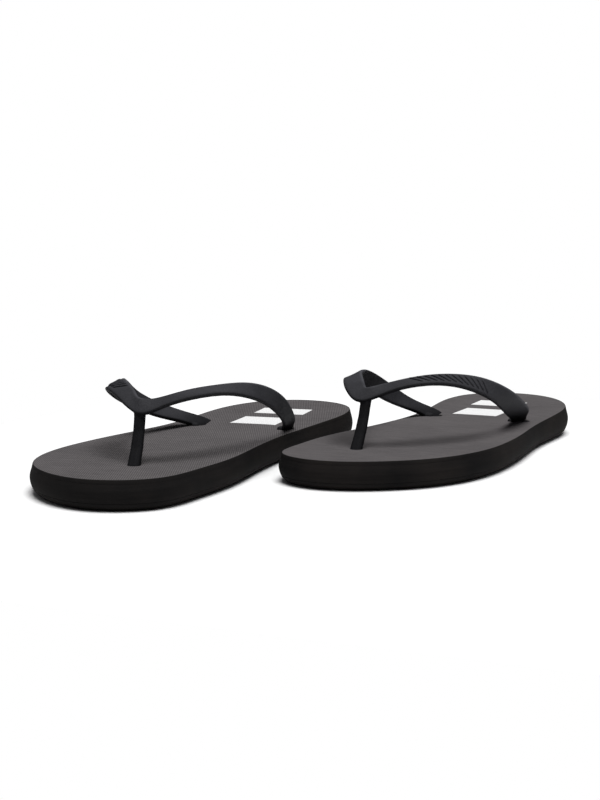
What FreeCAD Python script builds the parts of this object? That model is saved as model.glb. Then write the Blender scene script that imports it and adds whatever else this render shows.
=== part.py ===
import FreeCAD, Part
import os

# A pair of rubber thong sandals (flip flops), standing flat on the floor.
# Millimetres. +Z up, +Y toward the toes, +X toward the wearer's right.
# The origin is on the floor, at the centre of the pair's bounding box.

Vector = FreeCAD.Vector

# ---- one sole, drawn for the left foot: +X is the medial (big toe) side ----
SOLE_LENGTH = 280.0
FOREFOOT_HEIGHT = 14.0
HEEL_RISE = 5.0            # how much higher the back end of the footbed lies
WEDGE_START_Y = -28.0      # the footbed is level in front of this line
OUTSOLE_THICKNESS = 3.5
FOOTBED_THICKNESS = 2.0
FOOTBED_INSET = 1.6        # the side wall bulges this far beyond the footbed's edge
OUTSOLE_INSET = 0.8
OUTSOLE_BEVEL = 1.8        # the lower edge is cut back by this much, all round
HALF_LENGTH = SOLE_LENGTH / 2

# widest outline of the sole, heel to toe along the medial side, then back
OUTLINE = [
    (0.0, -HALF_LENGTH), (31.0, -125.5), (36.4, -106.0), (34.6, -83.0), (30.6, -50.0),
    (29.2, -15.0), (31.2, 25.0), (33.8, 66.0), (31.6, 98.0), (23.6, 128.0),
    (0.0, HALF_LENGTH), (-31.0, 128.6), (-50.0, 107.0), (-60.6, 74.0), (-61.4, 42.0),
    (-57.0, 3.0), (-51.2, -35.0), (-48.4, -75.0), (-44.0, -107.5), (-33.5, -126.0),
]

# ---- holes through the sole, and the strap's round anchors in them ----
TOE_HOLE = (-2.0, 96.0)
LATERAL_HOLE = (-35.0, -52.0)
MEDIAL_HOLE = (18.0, -50.0)
TOE_SHANK_RADIUS = 3.0
SIDE_SHANK_RADIUS = 4.0
SHANK_CLEARANCE = 0.15
TOE_PLUG_RADIUS = 8.5
SIDE_PLUG_RADIUS = 6.5
PLUG_THICKNESS = 3.0
PLUG_CLEARANCE = 0.3
# place, shank radius and plug radius of each anchor
ANCHORS = [
    (TOE_HOLE, TOE_SHANK_RADIUS, TOE_PLUG_RADIUS),
    (LATERAL_HOLE, SIDE_SHANK_RADIUS, SIDE_PLUG_RADIUS),
    (MEDIAL_HOLE, SIDE_SHANK_RADIUS, SIDE_PLUG_RADIUS),
]
SHANK_TOP = 1.5            # how far a shank stands above the level footbed, round the band's end

# ---- strap: a flat moulded band whose two arms meet over the toe post ----
BAND_THICKNESS = 2.2
BAND_STEPS = 3             # flat pieces of the band between two stations
POST_WIDTH = 5.4
POST_TOP = (-3.0, 87.5, 24.5)      # height is above the level footbed
POST_CHAMFER = 1.2

# Each station: a point on the band's front edge and one on its rear edge, from the
# lateral hole forward over the toe post and back to the medial hole. Heights are
# above the level footbed.
BAND_STATIONS = [
    ((-33.5, -43.0, -4.0), (-31.5, -66.0, -4.0)),
    ((-33.5, -41.5, -1.0), (-32.5, -63.5, -0.5)),
    ((-34.0, -37.0, 1.0), (-37.0, -54.0, 3.5)),
    ((-36.0, -26.5, 4.0), (-43.0, -39.0, 8.5)),
    ((-39.5, -10.5, 8.0), (-46.5, -18.0, 15.5)),
    ((-43.0, 9.0, 14.0), (-46.5, 2.5, 23.0)),
    ((-44.0, 29.5, 21.0), (-41.0, 23.0, 30.0)),
    ((-39.5, 49.5, 27.5), (-32.5, 43.0, 33.5)),
    ((-30.0, 67.0, 30.5), (-21.5, 61.0, 33.5)),
    ((-16.0, 82.5, 28.0), (-10.5, 76.0, 31.0)),
    ((-2.0, 90.0, 22.5), (-4.5, 84.0, 29.5)),
    ((8.5, 85.0, 26.0), (1.0, 79.0, 28.5)),
    ((18.0, 70.5, 29.0), (9.5, 64.5, 31.0)),
    ((25.5, 53.5, 29.0), (19.0, 46.5, 32.5)),
    ((30.0, 34.5, 25.5), (26.0, 26.5, 32.0)),
    ((31.5, 14.0, 19.5), (30.0, 5.5, 27.5)),
    ((30.5, -4.5, 12.5), (30.5, -14.5, 20.0)),
    ((27.0, -20.5, 7.0), (28.0, -32.5, 11.5)),
    ((23.0, -32.5, 3.0), (23.5, -48.0, 5.0)),
    ((20.0, -39.0, -0.5), (18.5, -58.5, 0.0)),
    ((19.5, -41.0, -4.0), (18.0, -61.0, -4.0)),
]

# ---- printed bars on the heel of the footbed ----
PRINT_THICKNESS = 0.25
# centre of each bar, its length across the heel and its width along the foot
PRINT_BARS = [
    ((-4.0, -67.5), 27.0, 24.0),
    ((-2.5, -101.0), 30.0, 17.0),
]

# ---- how the two sandals stand beside each other ----
PAIR_SPACING = 84.0        # across, between the two soles' own origins
PAIR_STAGGER = 89.0        # the right sandal stands this far ahead
TOE_IN = 4.3               # degrees that each sandal's toes turn inward

SIDE_REACH = 100.0         # half the width of blocks that are cut down to the outline


def closed_curve(points):
    """Smooth closed curve through the points."""
    curve = Part.BSplineCurve()
    curve.interpolate(Points=points, PeriodicFlag=True)
    return curve


def outline_face(inset=0.0):
    """Flat face inside the sole's outline at z = 0, drawn in by the inset."""
    widest = closed_curve([Vector(x, y, 0) for x, y in OUTLINE])
    points = []
    for x, y in OUTLINE:
        place = Vector(x, y, 0)
        tangent = widest.tangent(widest.parameter(place))[0]
        points.append(place + Vector(-tangent.y, tangent.x, 0) * inset)
    return Part.Face(Part.Wire([closed_curve(points).toShape()]))


def profile_edges(offset):
    """The footbed's side profile in the YZ plane, moved vertically by the offset."""
    level = FOREFOOT_HEIGHT + offset
    front = Vector(-SIDE_REACH, HALF_LENGTH + 10, level)
    start = Vector(-SIDE_REACH, WEDGE_START_Y, level)
    middle = Vector(-SIDE_REACH, (WEDGE_START_Y - HALF_LENGTH) / 2, level)
    back = Vector(-SIDE_REACH, -HALF_LENGTH, level + HEEL_RISE)
    wedge = Part.BezierCurve()
    wedge.setPoles([start, middle, back])
    slope = HEEL_RISE / (HALF_LENGTH + WEDGE_START_Y) * 2
    end = back + Vector(0, -10, 10 * slope)
    return [Part.makeLine(front, start), wedge.toShape(), Part.makeLine(back, end)], front, end


def block_between(low_offset, high_offset):
    """Wide block between two copies of the footbed's profile; low None means the floor."""
    top_edges, top_front, top_end = profile_edges(high_offset)
    if low_offset is None:
        low_front = Vector(-SIDE_REACH, top_front.y, 0)
        low_end = Vector(-SIDE_REACH, top_end.y, 0)
        low_edges = [Part.makeLine(low_front, low_end)]
    else:
        low_edges, low_front, low_end = profile_edges(low_offset)
    sides = [Part.makeLine(top_front, low_front), Part.makeLine(top_end, low_end)]
    edges = Part.sortEdges(top_edges + low_edges + sides)[0]
    face = Part.Face(Part.Wire(edges))
    return face.extrude(Vector(2 * SIDE_REACH, 0, 0))


def tall_outline(inset, low, high):
    """Prism on the sole's outline from one height to another."""
    prism = outline_face(inset).extrude(Vector(0, 0, high - low))
    prism.translate(Vector(0, 0, low))
    return prism


def cylinder(place, radius, low, high):
    """Upright cylinder at an (x, y) place."""
    return Part.makeCylinder(radius, high - low, Vector(place[0], place[1], low))


def holes(low, high):
    """Drills for the strap's three shanks."""
    drills = []
    for place, shank_radius, plug_radius in ANCHORS:
        drills.append(cylinder(place, shank_radius + SHANK_CLEARANCE, low, high))
    return drills


def make_outsole():
    """Bottom layer: bevelled lower edge, and three round pockets for the anchors."""
    lower_rim = outline_face(OUTSOLE_INSET + OUTSOLE_BEVEL).OuterWire
    upper_rim = outline_face(OUTSOLE_INSET).OuterWire
    upper_rim.translate(Vector(0, 0, OUTSOLE_BEVEL))
    bevelled = Part.makeLoft([lower_rim, upper_rim], True, True)
    body = bevelled.fuse(tall_outline(OUTSOLE_INSET, OUTSOLE_BEVEL, OUTSOLE_THICKNESS))
    for place, shank_radius, plug_radius in ANCHORS:
        body = body.cut(cylinder(place, plug_radius + PLUG_CLEARANCE, -1, OUTSOLE_THICKNESS + 1))
    return body


def make_midsole():
    """Foam core: a wedge on the widest outline."""
    prism = tall_outline(0, OUTSOLE_THICKNESS, FOREFOOT_HEIGHT + 2 * HEEL_RISE)
    body = prism.common(block_between(None, -FOOTBED_THICKNESS))
    return body.cut(holes(0, FOREFOOT_HEIGHT + HEEL_RISE))


def make_footbed():
    """Top sheet that follows the wedge."""
    prism = tall_outline(FOOTBED_INSET, 0, FOREFOOT_HEIGHT + 2 * HEEL_RISE)
    body = prism.common(block_between(-FOOTBED_THICKNESS, 0))
    return body.cut(holes(0, FOREFOOT_HEIGHT + HEEL_RISE))


def make_heel_print():
    """Two plain straight bars of printed film on the footbed."""
    bars = []
    for (x, y), length, width in PRINT_BARS:
        corner = Vector(x - length / 2, y - width / 2, 0)
        bar = Part.makeBox(length, width, 2 * FOREFOOT_HEIGHT, corner)
        bars.append(bar.common(block_between(0, PRINT_THICKNESS)))
    return Part.makeCompound(bars)


def band_section(front, rear, along):
    """Rectangle across the band, from its front edge to its rear edge."""
    normal = (rear - front).cross(along)
    normal.normalize()
    thick = normal * (BAND_THICKNESS / 2)
    corners = [front + thick, rear + thick, rear - thick, front - thick]
    return Part.makePolygon(corners + corners[:1])


def edge_curve(points):
    """Smooth open curve that passes the stations at whole-number parameters."""
    curve = Part.BSplineCurve()
    curve.interpolate(Points=points, Parameters=list(range(len(points))))
    return curve


def make_band():
    """Flat band lofted through its stations, from the lateral hole to the medial one."""
    lift = Vector(0, 0, FOREFOOT_HEIGHT)
    front_edge = edge_curve([Vector(*front) + lift for front, rear in BAND_STATIONS])
    rear_edge = edge_curve([Vector(*rear) + lift for front, rear in BAND_STATIONS])
    sections = []
    for step in range((len(BAND_STATIONS) - 1) * BAND_STEPS + 1):
        place = step / BAND_STEPS
        along = front_edge.getD1(place)[1] + rear_edge.getD1(place)[1]
        sections.append(band_section(front_edge.value(place), rear_edge.value(place), along))
    return Part.makeLoft(sections, True, True)


def post_section(centre):
    """Square with cut corners, level, at a height."""
    half = POST_WIDTH / 2
    cut = half - POST_CHAMFER
    plan = [(half, cut), (cut, half), (-cut, half), (-half, cut),
            (-half, -cut), (-cut, -half), (cut, -half), (half, -cut)]
    corners = [centre + Vector(x, y, 0) for x, y in plan]
    return Part.makePolygon(corners + corners[:1])


def make_strap():
    """One moulded piece: two arms, toe post, three shanks and their round anchors."""
    foot = Vector(TOE_HOLE[0], TOE_HOLE[1], FOREFOOT_HEIGHT - 1)
    head = Vector(POST_TOP[0], POST_TOP[1], FOREFOOT_HEIGHT + POST_TOP[2])
    post = Part.makeLoft([post_section(foot), post_section(head)], True, True)
    above = make_band().fuse(post).cut(block_between(None, 0))
    pieces = []
    plug_low = OUTSOLE_THICKNESS - PLUG_THICKNESS
    for place, shank_radius, plug_radius in ANCHORS:
        pieces.append(cylinder(place, plug_radius, plug_low, OUTSOLE_THICKNESS))
        pieces.append(cylinder(place, shank_radius, plug_low, FOREFOOT_HEIGHT + SHANK_TOP))
    return above.fuse(pieces).removeSplitter()


def place_left(shape):
    """Turn the left sandal toe-in and move it to its side of the pair."""
    placed = shape.copy()
    placed.rotate(Vector(0, 0, 0), Vector(0, 0, 1), -TOE_IN)
    placed.translate(Vector(-PAIR_SPACING / 2, -PAIR_STAGGER / 2, 0))
    return placed


def place_right(shape):
    """Mirror image of the left sandal, standing further ahead."""
    placed = place_left(shape).mirror(Vector(0, 0, 0), Vector(1, 0, 0))
    placed.translate(Vector(0, PAIR_STAGGER, 0))
    return placed


def main():
    os.makedirs("parts", exist_ok=True)
    layers = {
        "outsole": make_outsole(),
        "midsole": make_midsole(),
        "footbed": make_footbed(),
        "heel_print": make_heel_print(),
        "strap": make_strap(),
    }
    back_end = place_left(layers["midsole"]).optimalBoundingBox().YMin
    front_end = place_right(layers["midsole"]).optimalBoundingBox().YMax
    to_centre = Vector(0, -(back_end + front_end) / 2, 0)
    for name, shape in layers.items():
        for side, place in (("left", place_left), ("right", place_right)):
            placed = place(shape)
            placed.translate(to_centre)
            placed.exportStep("parts/" + side + "_" + name + ".step")


main()
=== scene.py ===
import math

import bmesh
import bpy
import numpy as np
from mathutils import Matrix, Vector
from mathutils.geometry import delaunay_2d_cdt


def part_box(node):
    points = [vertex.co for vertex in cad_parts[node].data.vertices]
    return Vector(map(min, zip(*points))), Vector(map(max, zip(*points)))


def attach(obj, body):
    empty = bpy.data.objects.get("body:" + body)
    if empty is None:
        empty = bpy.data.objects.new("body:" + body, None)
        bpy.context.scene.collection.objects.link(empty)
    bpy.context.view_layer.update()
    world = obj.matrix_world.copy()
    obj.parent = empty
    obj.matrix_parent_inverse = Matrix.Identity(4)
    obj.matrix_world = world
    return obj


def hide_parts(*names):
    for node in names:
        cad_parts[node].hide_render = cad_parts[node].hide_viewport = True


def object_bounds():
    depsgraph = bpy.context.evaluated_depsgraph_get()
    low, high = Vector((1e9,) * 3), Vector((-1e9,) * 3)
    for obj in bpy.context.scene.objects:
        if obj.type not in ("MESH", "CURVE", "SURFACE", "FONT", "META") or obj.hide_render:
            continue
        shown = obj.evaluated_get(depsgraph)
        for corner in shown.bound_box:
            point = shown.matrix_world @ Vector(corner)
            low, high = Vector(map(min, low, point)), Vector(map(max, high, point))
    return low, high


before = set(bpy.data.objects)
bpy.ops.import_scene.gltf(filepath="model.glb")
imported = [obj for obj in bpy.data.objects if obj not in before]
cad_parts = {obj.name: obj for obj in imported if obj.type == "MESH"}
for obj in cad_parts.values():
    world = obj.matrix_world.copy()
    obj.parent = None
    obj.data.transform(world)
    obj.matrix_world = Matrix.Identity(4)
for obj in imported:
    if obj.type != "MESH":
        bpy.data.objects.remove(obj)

# A pair of thong sandals. Every shape is worked out in the left sandal's own
# millimetres (x to the inner side of the foot, y to the toes, z up from the
# floor), then moved into the row frame in metres, and mirrored for the right.

CAD_BOX = [list(corner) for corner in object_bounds()]
MM = 0.001

# ---- the sole ----
OUTLINE = [
    (0.0, -140.0), (31.0, -125.5), (36.4, -106.0), (34.6, -83.0), (30.6, -50.0),
    (29.2, -15.0), (31.2, 25.0), (33.8, 66.0), (31.6, 98.0), (23.6, 128.0),
    (0.0, 140.0), (-31.0, 128.6), (-50.0, 107.0), (-60.6, 74.0), (-61.4, 42.0),
    (-57.0, 3.0), (-51.2, -35.0), (-48.4, -75.0), (-44.0, -107.5), (-33.5, -126.0),
]
FOREFOOT_HEIGHT = 14.0
HEEL_RISE = 5.0
WEDGE_START = -28.0
WEDGE_LENGTH = 112.0
OUTSOLE_TOP = 3.5
FOOTBED_SHEET = 2.0
AROUND = 420               # points round the wall
FINE_POINTS = 4001         # points on the outline where its length is measured

# how far the wall lies inside the widest outline, by its height over the whole height
WALL_HEIGHTS = [0.0, 0.05, 0.15, 0.35, 0.6, 0.85, 1.0]
WALL_INSETS = [4.6, 3.2, 1.6, 0.35, 0.0, 0.95, 1.6]

# the layers meet at hairline joints
SOLE_GAP = 0.06            # half the height of the joint between outsole and midsole
SHEET_GAP = 0.01           # the same between midsole and footbed
LIP = 0.02                 # how far an edge turns in at a joint
MIDSOLE_DROP = 0.02        # from the footbed's base down to the midsole's top
BASE_RECESS = 0.05         # how far the footbed's flat base is let into it
MIDSOLE_RINGS = 16
TOP_PITCH = 2.4            # between mesh points inside the footbed's surface
BASE_PITCH = 8             # inside the faces at the joint under it
TREAD_PITCH = 6            # inside the tread's ground
GRID_ROW_STEP = 0.866      # between rows of a triangular grid, by its pitch
GRID_MARGIN = 0.6          # from a grid point to the nearest loop, by its pitch
OUTSOLE_HEIGHTS = (0.06, 0.25, 0.6, 1.1, 1.7, 2.4, 3.0, 3.25)

# ---- the holes through the sole, and the strap's anchors in them ----
TOE_HOLE = (-2.0, 96.0)
LATERAL_HOLE = (-35.0, -52.0)
MEDIAL_HOLE = (18.0, -50.0)
# place and radius
HOLES = ((TOE_HOLE, 3.15), (LATERAL_HOLE, 4.15), (MEDIAL_HOLE, 4.15))
# place, shank radius and plug radius
ANCHORS = ((TOE_HOLE, 3.0, 8.5), (LATERAL_HOLE, 4.0, 6.5), (MEDIAL_HOLE, 4.0, 6.5))
POCKET_GAP = 0.3
POCKETS = [(centre, plug + POCKET_GAP) for centre, shank, plug in ANCHORS]
# place, radius and depth of the dimple where each hole draws the footbed down
DIMPLES = ((TOE_HOLE, 5.0, 0.5), (LATERAL_HOLE, 11.0, 1.6), (MEDIAL_HOLE, 9.0, 1.3))
DIMPLE_SPREAD = 0.8
HOLE_RINGS = (0.5, 1.2, 2.2, 3.6, 5.4, 7.6)    # mesh circles, by their distance from a hole

# ---- the underside ----
RIM_INSET = 5.1
RIM_WIDTH = 7.0
RIM_ROUNDING = 0.3
RIM_SLOPE = 0.4
TREAD_DEPTH = 1.0
COLLAR_WIDTHS = (0.0, 1.8, 2.1)
COLLAR_HEIGHTS = (0.0, 0.0, TREAD_DEPTH)
COLLAR_POINTS = 64
LUG_LENGTH = 9.0
LUG_WIDTH = 4.6
LUG_GAP = 2.4
LUG_BEVEL = 0.5
LUG_CORNER = 0.9
LUG_ROOT = 0.05            # how deep a lug reaches into the tread's ground
LUG_CLEARANCE = 3.5        # from a lug to the edge of a plug
LUG_SHIFT = 8              # moves the rows of lugs to the middle of the sole

# ---- how the pair stands ----
TOE_IN = math.radians(4.3)
STAGGER = 89.0

# ---- the strap: front edge and rear edge of the band, heights above the level footbed ----
STATIONS = [
    ((-33.5, -43, -4), (-31.5, -66, -4)), ((-33.5, -41.5, -1), (-32.5, -63.5, -0.5)),
    ((-34, -37, 1), (-37, -54, 3.5)), ((-36, -26.5, 4), (-43, -39, 8.5)),
    ((-39.5, -10.5, 8), (-46.5, -18, 15.5)), ((-43, 9, 14), (-46.5, 2.5, 23)),
    ((-44, 29.5, 21), (-41, 23, 30)), ((-39.5, 49.5, 27.5), (-32.5, 43, 33.5)),
    ((-30, 67, 30.5), (-21.5, 61, 33.5)), ((-16, 82.5, 28), (-10.5, 76, 31)),
    ((-2, 90, 22.5), (-4.5, 84, 29.5)), ((8.5, 85, 26), (1, 79, 28.5)),
    ((18, 70.5, 29), (9.5, 64.5, 31)), ((25.5, 53.5, 29), (19, 46.5, 32.5)),
    ((30, 34.5, 25.5), (26, 26.5, 32)), ((31.5, 14, 19.5), (30, 5.5, 27.5)),
    ((30.5, -4.5, 12.5), (30.5, -14.5, 20)), ((27, -20.5, 7), (28, -32.5, 11.5)),
    ((23, -32.5, 3), (23.5, -48, 5)), ((20, -39, -0.5), (18.5, -58.5, 0)),
    ((19.5, -41, -4), (18, -61, -4)),
]
BAND_ENDS = 0.55           # the band starts and ends this far inside the stations, in the sole
BAND_RINGS = 260
BAND_HALF_THICKNESS = 1.1
BAND_CORNER = 0.6
REAR_BEVEL = 1.2           # on the outer side of the rear edge
BAND_FLATS = (0.66, 0.33, 0.0, -0.33, -0.66)    # points on its flat faces, by share of the half-width

POST_TOP = (-3.0, 87.0, 25.0)
# share of the post's height, and its width there
POST_WIDTHS = ((-0.12, 5.9), (0.0, 5.8), (0.3, 5.5), (0.6, 5.2), (0.85, 5.2), (1.0, 5.6))
POST_DEPTH_SHARE = 0.86
POST_CUT = 1.3
POST_BOW = 1.4

SHANK_BOTTOM = 1.5
SHANK_DROP = 1.4           # a shank ends this far under the level footbed
# change of a plug's radius, and height
PLUG_PROFILE = ((-0.8, 0.5), (-0.2, 0.7), (0.0, 1.3), (0.0, 2.9), (-0.4, 3.4))
# radius and height of the nub under a plug
NUB_PROFILE = ((2.0, 0.3), (2.2, 0.5), (2.2, 1.5))
# small rounded foot on the inner side of each arm, where it enters the footbed
FEET = (((-32.4, -41.0), 2.3), ((18.6, -42.0), 2.8))
# change of a foot's radius, and height over the level footbed
FOOT_PROFILE = ((0.0, -1.5), (0.0, 0.3), (-0.5, 1.2), (-1.4, 1.6))
SMALL_ROUND = 24           # points round a nub or a foot

VOXEL = 0.36
SOFTENING = 2              # passes of smoothing after the parts have grown together

# painted light on the strap: how much lighter (painted highlight) or darker (painted shade) than the
# rubber, and how far that reaches
REAR_HIGHLIGHT_GAIN, REAR_HIGHLIGHT_REACH = 1.3, 1.0      # rear edge, painted highlight
SHADED_LOSS, SHADED_REACH = 0.5, 1.3      # front edge, painted shade
POST_SHADE, POST_REACH, POST_FADE = 0.68, 14, 3
POST_START = 1.5           # under the post's top
END_SHADE, END_HEIGHT, END_FADE = 0.6, 10, 8
END_BEHIND = 30            # the arm ends lie further behind the toe hole than this
TIP_SHADE, TIP_START, TIP_FADE = 0.2, 68, 10

# plain slanted ribs on the outer face of the lateral arm, placed by station along the band
RIB_COUNT = 12
RIB_FIRST = 6.12
RIB_STEP = 0.2
RIB_SLANT = 0.085
RIB_REACH = 0.62           # share of the band's half-width
RIB_HEIGHT = 0.75
RIB_ROOT = 0.4
RIB_EDGE = 0.15
RIB_HALF_WIDTHS = (0.8, 0.7, 0.5)    # at its root, at its upper edge and on top
RIB_SIZES = (0.55, 1.0, 1.0, 1.0, 1.0, 1.0, 0.55)    # size of each section along a rib

# centre of each heel bar, its length across the heel and its width along the foot
BARS = (((-4.0, -67.5), 27.0, 24.0), ((-2.5, -101.0), 30.0, 17.0))
BAR_COLUMNS = 48
BAR_ROWS = 25
FILM = 0.25


# ---------------------------------------------------------------- curves
class Spline:
    """Cubic curve through points, twice smooth; closed ones come back to their start."""

    def __init__(self, points, closed=False, chord=False):
        p = np.array(points, float)
        if closed:
            p = np.vstack([p, p[:1]])
        n = len(p)
        h = np.linalg.norm(np.diff(p, axis=0), axis=1) if chord else np.ones(n - 1)
        self.t = np.concatenate([[0.0], np.cumsum(h)])
        self.p = p
        rows = np.zeros((n, n))
        right = np.zeros((n, p.shape[1]))
        slope = np.diff(p, axis=0) / h[:, None]
        for i in range(1, n - 1):
            rows[i, i - 1] = h[i - 1]
            rows[i, i] = 2 * (h[i - 1] + h[i])
            rows[i, i + 1] = h[i]
            right[i] = 6 * (slope[i] - slope[i - 1])
        if closed:
            rows[0, 0] = 1
            rows[0, n - 1] = -1
            rows[n - 1, 0] = 2 * h[0]
            rows[n - 1, 1] = h[0]
            rows[n - 1, n - 2] = h[-1]
            rows[n - 1, n - 1] = 2 * h[-1]
            right[n - 1] = 6 * (slope[0] - slope[-1])
        else:
            rows[0, 0] = 1
            rows[n - 1, n - 1] = 1
        self.m = np.linalg.solve(rows, right)

    def __call__(self, t, order=0):
        """Points of the curve at t, or its first derivative there for order 1."""
        t = np.atleast_1d(np.asarray(t, float))
        i = np.clip(np.searchsorted(self.t, t, side="right") - 1, 0, len(self.t) - 2)
        h = (self.t[i + 1] - self.t[i])[:, None]
        a = ((self.t[i + 1] - t)[:, None]) / h
        b = 1 - a
        p0, p1, m0, m1 = self.p[i], self.p[i + 1], self.m[i], self.m[i + 1]
        if order == 0:
            return a * p0 + b * p1 + ((a**3 - a) * m0 + (b**3 - b) * m1) * h**2 / 6
        return (p1 - p0) / h + ((1 - 3 * a**2) * m0 + (3 * b**2 - 1) * m1) * h / 6


def ease(x):
    """Smooth step from 0 to 1."""
    x = np.clip(x, 0.0, 1.0)
    return x * x * (3 - 2 * x)


outline = Spline(OUTLINE, closed=True, chord=True)
wall_inset = Spline([(inset,) for inset in WALL_INSETS])


def unit_inward(t):
    """Unit vectors from the outline into the sole."""
    tangent = outline(t, 1)
    tangent /= np.linalg.norm(tangent, axis=1)[:, None]
    return np.stack([-tangent[:, 1], tangent[:, 0]], axis=1)


# the outline in fine steps with the distance along it, then evenly spaced points for the wall
FINE_T = np.linspace(0, outline.t[-1], FINE_POINTS)
FINE_OUTLINE = outline(FINE_T)
FINE_STEPS = np.linalg.norm(np.diff(FINE_OUTLINE, axis=0), axis=1)
FINE_ARC = np.concatenate([[0], np.cumsum(FINE_STEPS)])
RING_ARC = np.linspace(0, FINE_ARC[-1], AROUND, endpoint=False)
RING_T = np.interp(RING_ARC, FINE_ARC, FINE_T)
RING = outline(RING_T)
RING_IN = unit_inward(RING_T)


def top_height(y):
    """Height of the level footbed's surface over the floor, with the wedge under the heel."""
    behind = np.clip((WEDGE_START - np.asarray(y, float)) / WEDGE_LENGTH, 0, None)
    return FOREFOOT_HEIGHT + HEEL_RISE * behind ** 2


def sheet_bottom(x, y):
    """Height of the footbed's base."""
    return top_height(y) - FOOTBED_SHEET


def midsole_top(x, y):
    return sheet_bottom(x, y) - MIDSOLE_DROP


def inset_at(share):
    """How far in the wall is, at a share of its height."""
    place_in_list = np.interp(share, WALL_HEIGHTS, range(len(WALL_HEIGHTS)))
    return wall_inset(place_in_list)[:, 0]


# ---------------------------------------------------------------- placement
def turned(v):
    """Left-sandal points turned toe-in."""
    c, s = math.cos(TOE_IN), math.sin(TOE_IN)
    out = np.array(v, float)
    out[:, 0] = v[:, 0] * c + v[:, 1] * s
    out[:, 1] = -v[:, 0] * s + v[:, 1] * c
    return out


def shift_to_frame():
    """How far the turned left sole moves, across and forward, to lie on the frame's midsole."""
    low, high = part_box("left_midsole")
    own = turned(FINE_OUTLINE)
    middle = (own.min(axis=0) + own.max(axis=0)) / 2
    return (low.x + high.x) / 2 / MM - middle[0], (low.y + high.y) / 2 / MM - middle[1]


ACROSS_SHIFT, FORWARD_SHIFT = shift_to_frame()


def place(v, side):
    """Local millimetres to the row frame in metres."""
    out = turned(np.asarray(v, float))
    out[:, 0] += ACROSS_SHIFT
    out[:, 1] += FORWARD_SHIFT
    if side == "right":
        out[:, 0] *= -1
        out[:, 1] += STAGGER
    return out * MM


def build(name, verts, faces, uvs, side, material, body, sharp):
    """Mesh object from local millimetres; uvs is None or has one (u, v) in metres per vertex."""
    if side == "right":
        faces = [tuple(reversed(f)) for f in faces]
    mesh = bpy.data.meshes.new(name)
    mesh.from_pydata([tuple(p) for p in place(verts, side)], [], [tuple(f) for f in faces])
    mesh.update()
    obj = bpy.data.objects.new(name, mesh)
    bpy.context.scene.collection.objects.link(obj)
    if uvs is not None:
        layer = mesh.uv_layers.new(name="own")
        index = np.zeros(len(mesh.loops), np.int32)
        mesh.loops.foreach_get("vertex_index", index)
        layer.data.foreach_set("uv", np.asarray(uvs, np.float32)[index].ravel())
    mesh.materials.append(material)
    mesh.shade_smooth()
    mesh.set_sharp_from_angle(angle=math.radians(sharp))
    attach(obj, body)
    return obj


class Shape:
    """Collects vertices, faces and UVs of one mesh."""

    def __init__(self):
        self.v, self.f, self.uv = [], [], []
        self.count = 0

    def add(self, verts, faces, uvs):
        verts = np.asarray(verts, float)
        self.v.append(verts)
        self.uv.append(np.asarray(uvs, float))
        self.f.extend(tuple(int(i) + self.count for i in f) for f in faces)
        self.count += len(verts)

    def arrays(self):
        return np.vstack(self.v), self.f, np.vstack(self.uv)


def ring_faces(rings, n):
    """Quads between closed rings of n points, listed from the bottom up, seen from outside."""
    faces = []
    for k in range(rings - 1):
        for i in range(n):
            j = (i + 1) % n
            faces.append((k * n + i, k * n + j, (k + 1) * n + j, (k + 1) * n + i))
    return faces


def strip(shape, rings, uvs):
    """Open tube through closed rings."""
    shape.add(np.vstack(rings), ring_faces(len(rings), len(rings[0])), np.vstack(uvs))


def loft(shape, rings):
    """Closed tube through equal rings, with flat ends and no UVs of its own."""
    n = len(rings[0])
    faces = [tuple(range(n - 1, -1, -1))]
    faces += ring_faces(len(rings), n)
    faces.append(tuple(range((len(rings) - 1) * n, len(rings) * n)))
    v = np.vstack(rings)
    shape.add(v, faces, np.zeros((len(v), 2)))


def wall_ring(inset, z):
    """One ring of the wall at an inset and height, each a number or one per point."""
    xy = RING + RING_IN * np.broadcast_to(inset, (AROUND,))[:, None]
    return np.column_stack([xy, np.broadcast_to(z, (AROUND,))])


def wall(shape, rows):
    """Wall through (inset, height) rows, its UVs along the outline and up. Returns its rings."""
    rings = [wall_ring(inset, z) for inset, z in rows]
    strip(shape, rings, [np.column_stack([RING_ARC, ring[:, 2]]) * MM for ring in rings])
    return rings


def cut_rectangle(x, y, cut):
    """Corners of a rectangle of half-sizes x and y with its corners cut off."""
    return [(x, -y + cut), (x, y - cut), (x - cut, y), (-x + cut, y),
            (-x, y - cut), (-x, -y + cut), (-x + cut, -y), (x - cut, -y)]


def circle(centre, radius, n=40):
    """Level circle of n points, as (x, y) rows."""
    a = np.linspace(0, 2 * math.pi, n, endpoint=False)
    return np.column_stack([centre[0] + radius * np.cos(a), centre[1] + radius * np.sin(a)])


def inner_points(loops, pitch):
    """Points on a triangular grid inside the outer loop, kept away from every loop."""
    outer = np.asarray(loops[0])
    fixed = np.vstack(loops)
    across = np.arange(outer[:, 0].min(), outer[:, 0].max(), pitch)
    rows = np.arange(outer[:, 1].min(), outer[:, 1].max(), pitch * GRID_ROW_STEP)
    points = []
    for row, y in enumerate(rows):
        for x in across + (pitch / 2 if row % 2 else 0):
            nearest = np.min(np.hypot(fixed[:, 0] - x, fixed[:, 1] - y))
            if nearest > pitch * GRID_MARGIN and inside(outer, x, y):
                points.append((x, y))
    return points


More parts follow.
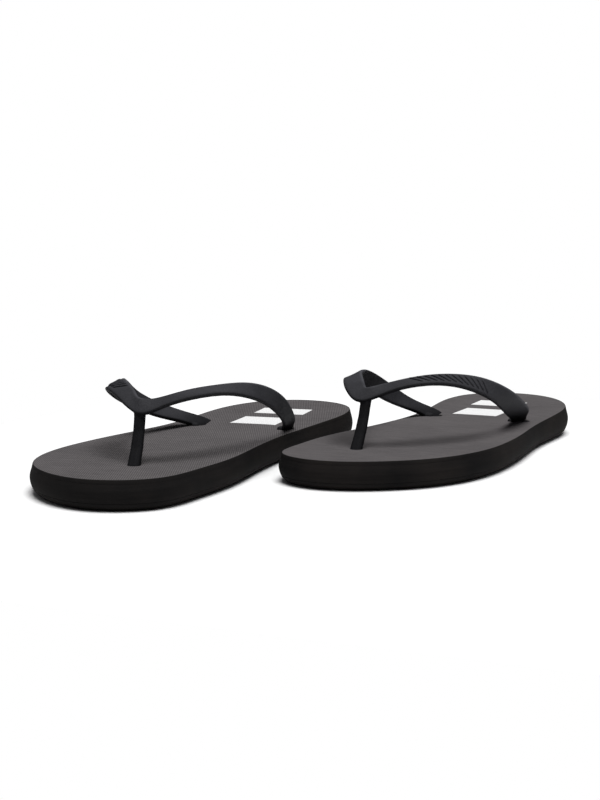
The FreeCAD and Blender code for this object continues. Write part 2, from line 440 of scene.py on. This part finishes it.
def plate(loops, pitch, height, up=True, rings=()):
    """Triangulated region between an outer loop and hole loops, at a height or on a surface.

    It has inner points every pitch millimetres, and its edges follow the further rings."""
    points, edges = [], []
    for loop in loops + list(rings):
        first = len(points)
        points.extend(map(tuple, loop))
        edges.extend((first + i, first + (i + 1) % len(loop)) for i in range(len(loop)))
    if pitch:
        points.extend(inner_points(loops, pitch))
    result = delaunay_2d_cdt([Vector(p) for p in points], edges, [], 0, 1e-5)
    xy = np.array([tuple(p) for p in result[0]])
    faces = []
    for f in result[2]:
        x, y = xy[list(f)].mean(0)
        if inside(loops[0], x, y) and not any(inside(hole, x, y) for hole in loops[1:]):
            a, b, c = xy[f[0]], xy[f[1]], xy[f[2]]
            turn = (b[0] - a[0]) * (c[1] - a[1]) - (b[1] - a[1]) * (c[0] - a[0])
            faces.append(tuple(f) if (turn > 0) == up else tuple(reversed(f)))
    z = height(xy[:, 0], xy[:, 1]) if callable(height) else np.full(len(xy), height)
    return np.column_stack([xy, z]), faces, xy * MM


def inside(loop, x, y):
    """Whether a point lies inside a closed loop."""
    px, py = loop[:, 0], loop[:, 1]
    qx, qy = np.roll(px, -1), np.roll(py, -1)
    crosses = (py > y) != (qy > y)
    with np.errstate(divide="ignore", invalid="ignore"):
        at = (qx - px) * (y - py) / (qy - py) + px
    return bool(np.count_nonzero(crosses & (x < at)) % 2)


def tube(shape, centre, radius, low, high):
    """Inner wall of a hole, seen from inside it; each end is a height or a surface."""
    loop = circle(centre, radius)
    n = len(loop)
    rings = []
    for z in (low, high):
        h = z(loop[:, 0], loop[:, 1]) if callable(z) else np.full(n, z)
        rings.append(np.column_stack([loop, h]))
    faces = [(i, n + i, n + (i + 1) % n, (i + 1) % n) for i in range(n)]
    shape.add(np.vstack(rings), faces, np.vstack([r[:, :2] for r in rings]) * MM)


# ---------------------------------------------------------------- materials
# the footbed's emboss: pitch in metres and turn of its ridges, and the weaker cross ridges' share
RIDGE_PITCH, RIDGE_TURN = 0.0010, math.radians(20)
CROSS_PITCH, CROSS_TURN = 0.0016, math.radians(-62)
CROSS_SHARE = 0.35


def new_material(name):
    material = bpy.data.materials.new(name)
    material.use_nodes = True
    tree = material.node_tree
    return material, tree, tree.nodes["Principled BSDF"]


def node(tree, kind, **values):
    """New node with its input sockets or its properties set."""
    made = tree.nodes.new(kind)
    for key, value in values.items():
        if key in made.inputs:
            made.inputs[key].default_value = value
        else:
            setattr(made, key, value)
    return made


def grey(level):
    return (level, level, level)


def ramp(tree, source, low, high, first, last):
    """Colour that goes from first to last as the source goes from low to high."""
    made = tree.nodes.new("ShaderNodeValToRGB")
    made.color_ramp.elements[0].position = low
    made.color_ramp.elements[1].position = high
    made.color_ramp.elements[0].color = (*first, 1)
    made.color_ramp.elements[1].color = (*last, 1)
    tree.links.new(source, made.inputs["Fac"])
    return made.outputs["Color"]


def mix(tree, kind, factor, a, b):
    """Mix of two colours; factor, a and b are each a socket, a number or a colour."""
    made = tree.nodes.new("ShaderNodeMix")
    made.data_type = "RGBA"
    made.blend_type = kind
    for value, socket in ((factor, made.inputs[0]), (a, made.inputs[6]), (b, made.inputs[7])):
        if isinstance(value, bpy.types.NodeSocket):
            tree.links.new(value, socket)
        elif isinstance(value, (int, float)):
            socket.default_value = value
        else:
            socket.default_value = (*value, 1)
    return made.outputs[2]


def times(tree, colour, source, low, high, first, last):
    """The colour multiplied by a ramp of the source."""
    return mix(tree, "MULTIPLY", 1.0, colour, ramp(tree, source, low, high, first, last))


def math_node(tree, operation, a, b):
    made = tree.nodes.new("ShaderNodeMath")
    made.operation = operation
    for value, socket in ((a, made.inputs[0]), (b, made.inputs[1])):
        if isinstance(value, bpy.types.NodeSocket):
            tree.links.new(value, socket)
        else:
            socket.default_value = value
    return made.outputs[0]


def coords(tree, source, scale=(1, 1, 1), turn=0.0):
    """UV or object coordinates, scaled and turned about the third axis."""
    start = tree.nodes.new("ShaderNodeTexCoord")
    mapping = tree.nodes.new("ShaderNodeMapping")
    mapping.inputs["Scale"].default_value = scale
    mapping.inputs["Rotation"].default_value = (0, 0, turn)
    tree.links.new(start.outputs[source], mapping.inputs["Vector"])
    return mapping.outputs["Vector"]


def noise(tree, vector, scale, detail, rough):
    made = node(tree, "ShaderNodeTexNoise", Scale=scale, Detail=detail, Roughness=rough)
    tree.links.new(vector, made.inputs["Vector"])
    return made.outputs["Fac"]


def ridges(tree, pitch, turn):
    """Sine ridges across the UV plane, 0 to 1, one every pitch metres."""
    wave = node(tree, "ShaderNodeTexWave", Scale=1.0, Distortion=0.0)
    wave.wave_type = "BANDS"
    wave.bands_direction = "X"
    wave.wave_profile = "SIN"
    turned_uv = coords(tree, "UV", turn=turn)
    # the wave node repeats once every pi / 10 of its input
    factor = math.pi / 10 / pitch
    scaled = tree.nodes.new("ShaderNodeMapping")
    scaled.inputs["Scale"].default_value = (factor, factor, factor)
    tree.links.new(turned_uv, scaled.inputs["Vector"])
    tree.links.new(scaled.outputs["Vector"], wave.inputs["Vector"])
    return wave.outputs["Fac"]


def emboss_pattern(tree):
    """Fine slanting ridges with weaker cross ridges, pressed into the footbed."""
    main = ridges(tree, RIDGE_PITCH, RIDGE_TURN)
    cross = ridges(tree, CROSS_PITCH, CROSS_TURN)
    weak = math_node(tree, "MULTIPLY", cross, CROSS_SHARE)
    return math_node(tree, "ADD", main, weak)


def set_roughness(tree, shader, source, spread, least):
    """Roughness that follows the source, from least to least + spread."""
    rough = math_node(tree, "MULTIPLY_ADD", source, spread)
    rough.node.inputs[2].default_value = least
    tree.links.new(rough, shader.inputs["Roughness"])


def bump(tree, height, distance, strength, before=None):
    """Normal bent by a height, on top of an earlier bump if one is given."""
    made = tree.nodes.new("ShaderNodeBump")
    made.inputs["Distance"].default_value = distance
    made.inputs["Strength"].default_value = strength
    tree.links.new(height, made.inputs["Height"])
    if before is not None:
        tree.links.new(before, made.inputs["Normal"])
    return made.outputs["Normal"]


def footbed_material():
    """Embossed foam, a little cloudy, with brushed streaks across the foot; the emboss's grooves get
    painted shade and its ridges a painted highlight.
    """
    material, tree, shader = new_material("footbed_foam")
    emboss = emboss_pattern(tree)
    cloud = noise(tree, coords(tree, "UV"), 22, 5, 0.6)
    fine = noise(tree, coords(tree, "UV"), 900, 3, 0.6)
    colour = ramp(tree, cloud, 0.25, 0.8, (0.096, 0.089, 0.091), (0.125, 0.116, 0.117))
    # painted shade in the emboss's grooves and painted highlight on its ridges
    colour = times(tree, colour, emboss, 0.1, 1.2, (0.62, 0.62, 0.63), grey(1.18))
    brushed = noise(tree, coords(tree, "UV", (60, 520, 1), math.radians(15)), 1.0, 5, 0.7)
    colour = times(tree, colour, brushed, 0.3, 0.7, grey(0.80), grey(1.20))
    colour = times(tree, colour, fine, 0.3, 0.7, grey(0.90), grey(1.10))
    tree.links.new(colour, shader.inputs["Base Color"])
    set_roughness(tree, shader, fine, 0.2, 0.68)
    shader.inputs["Specular IOR Level"].default_value = 0.12
    grain = bump(tree, fine, 0.00008, 0.5)
    tree.links.new(bump(tree, emboss, 0.00036, 1.0, grain), shader.inputs["Normal"])
    return material


def wall_material(name, dark, light):
    """Moulded foam with fine streaks along the wall."""
    material, tree, shader = new_material(name)
    streak = noise(tree, coords(tree, "UV", (30, 760, 1)), 1.0, 6, 0.7)
    cloud = noise(tree, coords(tree, "Object"), 26, 4, 0.6)
    fine = noise(tree, coords(tree, "Object"), 1500, 3, 0.6)
    colour = ramp(tree, cloud, 0.3, 0.75, dark, light)
    colour = times(tree, colour, streak, 0.3, 0.72, (0.74, 0.74, 0.75), (1.24, 1.21, 1.19))
    tree.links.new(colour, shader.inputs["Base Color"])
    set_roughness(tree, shader, streak, 0.2, 0.75)
    shader.inputs["Specular IOR Level"].default_value = 0.06
    grain = bump(tree, fine, 0.00006, 0.5)
    tree.links.new(bump(tree, streak, 0.00012, 0.6, grain), shader.inputs["Normal"])
    return material


def strap_material():
    """Moulded rubber with a fine grain; a value on each point of the mesh multiplies in painted
    highlight and painted shade.
    """
    material, tree, shader = new_material("strap_rubber")
    where = coords(tree, "Object")
    pores = node(tree, "ShaderNodeTexVoronoi", Scale=2400.0)
    tree.links.new(where, pores.inputs["Vector"])
    cloud = noise(tree, where, 45, 4, 0.6)
    fine = noise(tree, where, 1300, 4, 0.7)
    colour = ramp(tree, cloud, 0.3, 0.75, (0.030, 0.030, 0.034), (0.044, 0.044, 0.049))
    colour = times(tree, colour, fine, 0.3, 0.7, grey(0.72), grey(1.22))
    painted_light = node(tree, "ShaderNodeAttribute", attribute_name="painted_light")
    # painted highlight and painted shade, one value on each point, multiplied into the colour
    colour = mix(tree, "MULTIPLY", 1.0, colour, painted_light.outputs["Color"])
    tree.links.new(colour, shader.inputs["Base Color"])
    set_roughness(tree, shader, cloud, 0.16, 0.56)
    shader.inputs["Specular IOR Level"].default_value = 0.06
    grain = bump(tree, pores.outputs["Distance"], 0.00006, 0.45)
    tree.links.new(bump(tree, fine, 0.00009, 0.6, grain), shader.inputs["Normal"])
    return material


def film_material():
    """Thin white print that follows the footbed's emboss."""
    material, tree, shader = new_material("print_film")
    emboss = emboss_pattern(tree)
    fine = noise(tree, coords(tree, "UV"), 1100, 4, 0.7)
    colour = ramp(tree, fine, 0.28, 0.6, grey(0.62), grey(0.84))
    tree.links.new(colour, shader.inputs["Base Color"])
    set_roughness(tree, shader, fine, 0.2, 0.45)
    tree.links.new(bump(tree, emboss, 0.0002, 0.5), shader.inputs["Normal"])
    return material


FOOTBED = footbed_material()
MIDSOLE = wall_material("midsole_foam", (0.0060, 0.0060, 0.0063), (0.0150, 0.0130, 0.0122))
OUTSOLE = wall_material("outsole_rubber", (0.0060, 0.0060, 0.0063), (0.0145, 0.0127, 0.0120))
STRAP = strap_material()
PRINT = film_material()


# ---------------------------------------------------------------- sole pieces
def surface(x, y):
    """Top of the footbed, drawn down round the strap's three holes."""
    depth = np.zeros_like(np.asarray(x, float))
    for (hole_x, hole_y), radius, amount in DIMPLES:
        beside = (x - hole_x) ** 2 + (y - hole_y) ** 2
        depth = depth + amount * np.exp(-beside / (radius * DIMPLE_SPREAD) ** 2)
    return top_height(y) - depth


def footbed(side, body):
    """Top sheet: wall, rounded top edge, surface with dimples, holes and flat base."""
    shape = Shape()
    top = top_height(RING[:, 1])
    under = top - FOOTBED_SHEET
    low = inset_at(under / top)
    # rows from the joint with the midsole up to the rounded top edge
    rows = [
        (low + LIP, under + SHEET_GAP), (low + 0.005, under + 0.03), (low, under + 0.1),
        (low + 0.01, under + 0.2), (low + 0.2, top - 1.0), (low + 0.36, top - 0.45),
        (low + 0.5, top - 0.16), (low + 0.7, top - 0.04), (low + 1.0, top),
    ]
    rings = wall(shape, rows)
    edge = rings[-1][:, :2]
    holes = [circle(centre, radius) for centre, radius in HOLES]
    around = [circle(centre, radius + away) for centre, radius in HOLES for away in HOLE_RINGS]
    around = [loop for loop in around if all(inside(edge, x, y) for x, y in loop)]
    shape.add(*plate([edge] + holes, TOP_PITCH, surface, True, around))
    for centre, radius in HOLES:
        tube(shape, centre, radius, sheet_bottom, surface)
    base = [rings[0][:, :2]] + holes
    shape.add(*plate(base, BASE_PITCH, lambda x, y: sheet_bottom(x, y) + BASE_RECESS, False))
    v, f, uv = shape.arrays()
    piece = build(side + "_footbed_sheet", v, f, uv, side, FOOTBED, body, 50)
    # the wall up to the last row of its rounded edge shows the same dark foam as the midsole
    piece.data.materials.append(MIDSOLE)
    wall_faces = (len(rings) - 2) * AROUND
    index = np.zeros(len(piece.data.polygons), np.int32)
    index[:wall_faces] = 1
    piece.data.polygons.foreach_set("material_index", index)
    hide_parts(side + "_footbed")


def midsole(side, body):
    """Foam core with the bulging wall."""
    shape = Shape()
    height = top_height(RING[:, 1])
    top = height - FOOTBED_SHEET
    base = OUTSOLE_TOP + SOLE_GAP
    lower = np.full(AROUND, OUTSOLE_TOP + 0.15)
    levels = [base + (top - OUTSOLE_TOP - 2 * SOLE_GAP) * share
              for share in np.linspace(0, 1, MIDSOLE_RINGS)]
    rows = [(inset_at(levels[0] / height) + LIP, levels[0]), (inset_at(lower / height), lower)]
    rows += [(inset_at(z / height), z) for z in levels[1:-1]]
    rows.append((inset_at((top - 0.12) / height), top - 0.12))
    rows.append((inset_at((top - 0.03) / height) + 0.005, top - 0.03))
    rows.append((inset_at(levels[-1] / height) + LIP, top - SHEET_GAP))
    rings = wall(shape, rows)
    holes = [circle(centre, radius) for centre, radius in HOLES]
    shape.add(*plate([rings[-1][:, :2]] + holes, BASE_PITCH, midsole_top, True))
    shape.add(*plate([rings[0][:, :2]] + holes, 0, base, False))
    for centre, radius in HOLES:
        tube(shape, centre, radius, base, midsole_top)
    v, f, uv = shape.arrays()
    piece = build(side + "_midsole_wall", v, f, uv, side, MIDSOLE, body, 50)
    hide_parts(side + "_midsole")


def lug(shape, x, y):
    """Small block under the sole with cut corners and bevelled lower edges."""
    rings = []
    for inset, z in ((LUG_BEVEL, 0.0), (0.0, LUG_BEVEL * 0.6), (0.0, TREAD_DEPTH + LUG_ROOT)):
        plan = cut_rectangle(LUG_LENGTH / 2 - inset, LUG_WIDTH / 2 - inset, LUG_CORNER)
        rings.append([(x + across, y + along, z) for across, along in plan])
    v = np.array([p for ring in rings for p in ring])
    n = len(rings[0])
    faces = [tuple(reversed(range(n)))] + ring_faces(len(rings), n)
    shape.add(v, faces, v[:, :2] * MM)


def lugs(shape, edge):
    """Staggered rows of lugs inside the tread's edge, clear of the plugs."""
    step_x = LUG_LENGTH + LUG_GAP
    step_y = LUG_WIDTH + LUG_GAP
    for row in range(-20, 21):
        for column in range(-6, 7):
            x = column * step_x + (step_x / 2 if row % 2 else 0) - LUG_SHIFT
            y = row * step_y
            corners = [(x + dx * LUG_LENGTH / 2, y + dy * LUG_WIDTH / 2)
                       for dx in (-1, 1) for dy in (-1, 1)]
            clearance = min(math.hypot(px - centre[0], py - centre[1]) - plug
                            for px, py in corners + [(x, y)] for centre, shank, plug in ANCHORS)
            if clearance >= LUG_CLEARANCE and all(inside(edge, px, py) for px, py in corners):
                lug(shape, x, y)


def collar(shape, centre, radius):
    """Flat ring round a pocket, level with the rim, that slopes up to the tread's ground."""
    rings = []
    for width, z in zip(COLLAR_WIDTHS, COLLAR_HEIGHTS):
        loop = circle(centre, radius + width, COLLAR_POINTS)
        rings.append(np.column_stack([loop, np.full(COLLAR_POINTS, z)]))
    strip(shape, rings, [ring[:, :2] * MM for ring in rings])


def outsole(side, body):
    """Bottom layer: rounded lower edge, flat rim, lugs and collared pockets."""
    shape = Shape()
    height = top_height(RING[:, 1])
    top = OUTSOLE_TOP - SOLE_GAP
    rows = [(RIM_INSET, 0.0)]
    rows += [(inset_at(z / height), z) for z in OUTSOLE_HEIGHTS]
    rows.append((inset_at(top / height) + LIP, top))
    rings = wall(shape, rows)
    inner = RIM_INSET + RIM_WIDTH
    rim = [wall_ring(inner + RIM_SLOPE, TREAD_DEPTH), wall_ring(inner, 0.0),
           wall_ring(inner - RIM_ROUNDING, 0.0), rings[0]]
    strip(shape, rim, [ring[:, :2] * MM for ring in rim])
    edge = rim[0][:, :2]
    shape.add(*plate([edge], TREAD_PITCH, TREAD_DEPTH, False))
    for centre, radius in POCKETS:
        tube(shape, centre, radius, 0.0, top)
        collar(shape, centre, radius)
    lugs(shape, edge)
    pockets = [circle(centre, radius) for centre, radius in POCKETS]
    shape.add(*plate([rings[-1][:, :2]] + pockets, 0, top, True))
    v, f, uv = shape.arrays()
    piece = build(side + "_outsole_tread", v, f, uv, side, OUTSOLE, body, 40)
    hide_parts(side + "_outsole")


def bar_faces():
    """Faces of a bar's top grid and its low sides, and the top's edge points in turn."""
    n = BAR_COLUMNS
    last = (BAR_ROWS - 1) * n
    faces = [(r * n + c, r * n + c + 1, (r + 1) * n + c + 1, (r + 1) * n + c)
             for r in range(BAR_ROWS - 1) for c in range(n - 1)]
    edge = list(range(n))
    edge += [r * n + n - 1 for r in range(1, BAR_ROWS)]
    edge += [last + c for c in range(n - 2, -1, -1)]
    edge += [r * n for r in range(BAR_ROWS - 2, 0, -1)]
    count = n * BAR_ROWS
    for i in range(len(edge)):
        j = (i + 1) % len(edge)
        faces.append((edge[j], edge[i], count + i, count + j))
    return faces, edge


def heel_print(side, body):
    """Two plain bars of film that follow the footbed."""
    shape = Shape()
    faces, edge = bar_faces()
    for (x, y), length, width in BARS:
        across, along = np.meshgrid(np.linspace(-length / 2, length / 2, BAR_COLUMNS),
                                    np.linspace(-width / 2, width / 2, BAR_ROWS))
        across, along = across.ravel() + x, along.ravel() + y
        top = np.column_stack([across, along, surface(across, along) + FILM * 0.5])
        low = top[edge] - (0, 0, FILM)
        v = np.vstack([top, low])
        shape.add(v, faces, v[:, :2] * MM)
    v, f, uv = shape.arrays()
    piece = build(side + "_heel_bars", v, f, uv, side, PRINT, body, 60)
    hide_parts(side + "_heel_print")


# ---------------------------------------------------------------- strap
front_edge = Spline([front for front, rear in STATIONS])
rear_edge = Spline([rear for front, rear in STATIONS])
LAST = len(STATIONS) - 1


def band_frame(t):
    """Centre, half-width vector and outward unit normal of the band at each place along it."""
    front, rear = front_edge(t), rear_edge(t)
    front[:, 2] += FOREFOOT_HEIGHT
    rear[:, 2] += FOREFOOT_HEIGHT
    half = (rear - front) / 2
    normal = np.cross(half, front_edge(t, 1) + rear_edge(t, 1))
    normal /= np.linalg.norm(normal, axis=1)[:, None]
    return (front + rear) / 2, half, normal


def quarter(x, y, radius, start):
    """Quarter circle about a point, from a start angle in degrees."""
    angles = [math.radians(a) for a in np.linspace(start, start + 90, 5)]
    return [(x + radius * math.cos(a), y + radius * math.sin(a)) for a in angles]


def band_section(half_width):
    """Closed section in (across, out): three rounded corners, a bevel on the rear outer edge."""
    w, h, r, cut = half_width, BAND_HALF_THICKNESS, BAND_CORNER, REAR_BEVEL
    points = quarter(w - r, r - h, r, -90)
    points += [(w, h - cut * 0.7), (w - cut * 0.35, h - cut * 0.3), (w - cut, h)]
    points += [(w * share, h) for share in BAND_FLATS]
    points += quarter(r - w, h - r, r, 90)
    points += quarter(r - w, r - h, r, 180)
    points += [(w * share, -h) for share in reversed(BAND_FLATS)]
    return points


def upright(shape, centre, profile, n=40):
    """Turned part through (radius, height) pairs."""
    loft(shape, [np.column_stack([circle(centre, r, n), np.full(n, z)]) for r, z in profile])


def add_band(shape):
    """The two arms, one loft through the stations."""
    rings = []
    for centre, half, normal in zip(*band_frame(np.linspace(BAND_ENDS, LAST - BAND_ENDS, BAND_RINGS))):
        half_width = np.linalg.norm(half)
        across = half / half_width
        section = band_section(half_width)
        rings.append(np.array([centre + across * p + normal * q for p, q in section]))
    loft(shape, rings)


def add_post(shape):
    """Toe post, bowed a little towards the heel."""
    rings = []
    for share, width in POST_WIDTHS:
        bow = POST_BOW * math.sin(math.pi * min(max(share, 0), 1))
        x = TOE_HOLE[0] + (POST_TOP[0] - TOE_HOLE[0]) * share
        y = TOE_HOLE[1] + (POST_TOP[1] - TOE_HOLE[1]) * share - bow
        z = FOREFOOT_HEIGHT + POST_TOP[2] * share
        plan = cut_rectangle(width / 2, width * POST_DEPTH_SHARE / 2, POST_CUT)
        rings.append(np.array([(x + across, y + along, z) for across, along in plan]))
    loft(shape, rings)


def strap_body():
    """The moulding's closed parts, all overlapping, in local millimetres."""
    shape = Shape()
    add_band(shape)
    add_post(shape)
    for centre, shank, plug in ANCHORS:
        upright(shape, centre, [(shank, SHANK_BOTTOM), (shank, FOREFOOT_HEIGHT - SHANK_DROP)])
        upright(shape, centre, [(plug + change, z) for change, z in PLUG_PROFILE])
        upright(shape, centre, NUB_PROFILE, SMALL_ROUND)
    for centre, radius in FEET:
        foot = [(radius + change, FOREFOOT_HEIGHT + z) for change, z in FOOT_PROFILE]
        upright(shape, centre, foot, SMALL_ROUND)
    return shape


def rib_ring(centre, half, normal, reach, size):
    """One section of a rib, set across the band by a share of its half-width."""
    along = np.cross(normal, half / np.linalg.norm(half))
    top = BAND_HALF_THICKNESS + RIB_HEIGHT * size
    low = BAND_HALF_THICKNESS - RIB_ROOT
    root, edge, crown = RIB_HALF_WIDTHS
    section = [(-root, low), (root, low), (edge, top - RIB_EDGE),
               (crown, top), (-crown, top), (-edge, top - RIB_EDGE)]
    middle = centre + half * reach
    return np.array([middle + along * (p * size) + normal * q for p, q in section])


def rib_bodies():
    """Closed ribs, rooted in the band."""
    shape = Shape()
    count = len(RIB_SIZES)
    reaches = np.linspace(-RIB_REACH, RIB_REACH, count)
    for k in range(RIB_COUNT):
        places = RIB_FIRST + k * RIB_STEP + np.linspace(-RIB_SLANT, RIB_SLANT, count)
        loft(shape, [rib_ring(*row) for row in zip(*band_frame(places), reaches, RIB_SIZES)])
    return shape


def closed_mesh(shape, name):
    """Mesh of closed parts, all their faces turned outward."""
    v, f, uv = shape.arrays()
    mesh = bpy.data.meshes.new(name)
    mesh.from_pydata([tuple(p) for p in v], [], f)
    mesh.validate()
    bm = bmesh.new()
    bm.from_mesh(mesh)
    bmesh.ops.recalc_face_normals(bm, faces=bm.faces)
    bm.to_mesh(mesh)
    bm.free()
    return mesh


def add_mesh(shape, mesh):
    """Adds a mesh's vertices and faces to the shape, then removes the mesh."""
    v = np.zeros(len(mesh.vertices) * 3)
    mesh.vertices.foreach_get("co", v)
    v = v.reshape(-1, 3)
    shape.add(v, [tuple(p.vertices) for p in mesh.polygons], np.zeros((len(v), 2)))
    bpy.data.meshes.remove(mesh)


def grown_together(mesh):
    """The mesh's overlapping parts as one skin with soft inner corners."""
    parts = bpy.data.objects.new("strap_parts", mesh)
    bpy.context.scene.collection.objects.link(parts)
    remesh = parts.modifiers.new("grow", "REMESH")
    remesh.mode = "VOXEL"
    remesh.voxel_size = VOXEL
    remesh.adaptivity = 0.0
    soften = parts.modifiers.new("soften", "SMOOTH")
    soften.factor = 0.5
    soften.iterations = SOFTENING
    evaluated = parts.evaluated_get(bpy.context.evaluated_depsgraph_get())
    result = bpy.data.meshes.new_from_object(evaluated)
    bpy.data.objects.remove(parts)
    bpy.data.meshes.remove(mesh)
    return result


def whole_strap():
    """The fused strap with its ribs added, and the painted highlight and shade on each point."""
    shape = Shape()
    add_mesh(shape, grown_together(closed_mesh(strap_body(), "strap_parts")))
    add_mesh(shape, closed_mesh(rib_bodies(), "ribs"))
    v, f, uv = shape.arrays()
    return v, f, strap_painted_light(v)


def nearness(v, line, reach):
    """1 on a line of points, and next to nothing at twice the reach."""
    far = np.full(len(v), 1e9)
    for p in line:
        far = np.minimum(far, ((v - p) ** 2).sum(1))
    return np.exp(-far / reach**2)


def strap_painted_light(v):
    """Painted light on the rubber: painted highlight on the rear edge, painted shade on the front
    edge, the post, the tip and the arm ends.
    """
    centre, half, normal = band_frame(np.linspace(0.6, LAST - 0.6, 400))
    # painted highlight along the rear edge's bevel
    rear_highlight = nearness(v, centre + half + normal * BAND_HALF_THICKNESS, REAR_HIGHLIGHT_REACH)
    # painted shade along the band's front edge
    shaded = nearness(v, centre - half, SHADED_REACH)
    # painted shade on the toe post
    post_top = FOREFOOT_HEIGHT + POST_TOP[2]
    beside = np.hypot(v[:, 0] - POST_TOP[0], v[:, 1] - (POST_TOP[1] + TOE_HOLE[1]) / 2)
    post = ease((post_top - POST_START - v[:, 2]) / POST_FADE)
    post = post * ease((POST_REACH - beside) / POST_FADE)
    # painted shade on the arm ends close to the footbed
    above = v[:, 2] - top_height(v[:, 1])
    end = ease((END_HEIGHT - above) / END_FADE)
    end = end * ease((TOE_HOLE[1] - END_BEHIND - v[:, 1]) / TIP_FADE)
    # painted shade towards the toe end of the strap, except on the post
    tip = ease((v[:, 1] - TIP_START) / TIP_FADE)
    painted_light = (1 + REAR_HIGHLIGHT_GAIN * rear_highlight) * (1 - SHADED_LOSS * shaded)
    painted_light = painted_light * (1 - POST_SHADE * post) * (1 - END_SHADE * end)
    return painted_light * (1 - TIP_SHADE * tip * (1 - post))


def strap(side, body):
    """One moulding, with its painted highlight and shade as a value on each point."""
    v, f = STRAP_V, STRAP_F
    piece = build(side + "_strap_moulding", v, f, None, side, STRAP, body, 180)
    piece.data.attributes.new("painted_light", "FLOAT", "POINT").data.foreach_set("value", STRAP_PAINTED_LIGHT)
    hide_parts(side + "_strap")


STRAP_V, STRAP_F, STRAP_PAINTED_LIGHT = whole_strap()

for side in ("left", "right"):
    body = side + "_flip_flop"
    outsole(side, body)
    midsole(side, body)
    footbed(side, body)
    heel_print(side, body)
    strap(side, body)


# ---------------------------------------------------------------- stage
FLOOR_MARGIN = 0.14
FLOOR_DEPTH = 0.0002       # the floor lies this far under the soles
FLOOR_GREY = 0.84
DIM_SKY = (0.085, 0.085, 0.088)
WHITE_SKY = (1, 1, 1)
# direction seen from the pair, strength and angular size in degrees
KEY_LIGHT = ((-0.14, 0.06, 1.0), 3.85, 44)
FILL_LIGHT = ((-0.35, 0.6, 0.9), 0.2, 60)
LENS = 64.825
CAMERA_PLACE = (-0.2970, 0.7031, 0.1170)
CAMERA_HEADING = (0.40717, -0.91335, 0)
CAMERA_PITCH = math.radians(6.43)


def floor():
    """A pale sheet under the pair, only a little larger, so that it throws up little light."""
    mesh = bpy.data.meshes.new("floor")
    high = CAD_BOX[1]
    x, y, z = high[0] + FLOOR_MARGIN, high[1] + FLOOR_MARGIN, -FLOOR_DEPTH
    mesh.from_pydata([(-x, -y, z), (x, -y, z), (x, y, z), (-x, y, z)], [], [(0, 1, 2, 3)])
    obj = bpy.data.objects.new("floor", mesh)
    bpy.context.scene.collection.objects.link(obj)
    material, tree, shader = new_material("floor")
    shader.inputs["Base Color"].default_value = (*grey(FLOOR_GREY), 1)
    shader.inputs["Roughness"].default_value = 0.9
    shader.inputs["Specular IOR Level"].default_value = 0.1
    mesh.materials.append(material)


def soft_sun(name, towards, strength, angle):
    """Large soft light, from the given direction seen from the pair."""
    data = bpy.data.lights.new(name, "SUN")
    data.energy = strength
    data.angle = math.radians(angle)
    obj = bpy.data.objects.new(name, data)
    obj.rotation_mode = "QUATERNION"
    obj.rotation_quaternion = Vector(towards).to_track_quat("Z", "Y")
    bpy.context.scene.collection.objects.link(obj)


def stage_light():
    """White backdrop that lights the object only dimly, and a large soft light overhead."""
    world = bpy.data.worlds.new("studio")
    bpy.context.scene.world = world
    world.use_nodes = True
    tree = world.node_tree
    seen = tree.nodes.new("ShaderNodeLightPath")
    sky = mix(tree, "MIX", seen.outputs["Is Camera Ray"], DIM_SKY, WHITE_SKY)
    tree.links.new(sky, tree.nodes["Background"].inputs["Color"])
    tree.nodes["Background"].inputs["Strength"].default_value = 1.0
    soft_sun("key", *KEY_LIGHT)
    soft_sun("fill", *FILL_LIGHT)


def camera():
    """Camera in front of the toes, a little above the floor."""
    data = bpy.data.cameras.new("camera")
    data.sensor_width = 36.0
    data.sensor_fit = "AUTO"
    data.lens = LENS
    data.clip_start = 0.01
    obj = bpy.data.objects.new("camera", data)
    bpy.context.scene.collection.objects.link(obj)
    obj.location = CAMERA_PLACE
    level = Vector(CAMERA_HEADING).normalized()
    looking = level * math.cos(CAMERA_PITCH) + Vector((0, 0, -math.sin(CAMERA_PITCH)))
    obj.rotation_mode = "QUATERNION"
    obj.rotation_quaternion = looking.to_track_quat("-Z", "Y")
    bpy.context.scene.camera = obj


floor()
stage_light()
camera()
bpy.context.scene.view_settings.view_transform = "Standard"
bpy.context.scene.view_settings.look = "None"
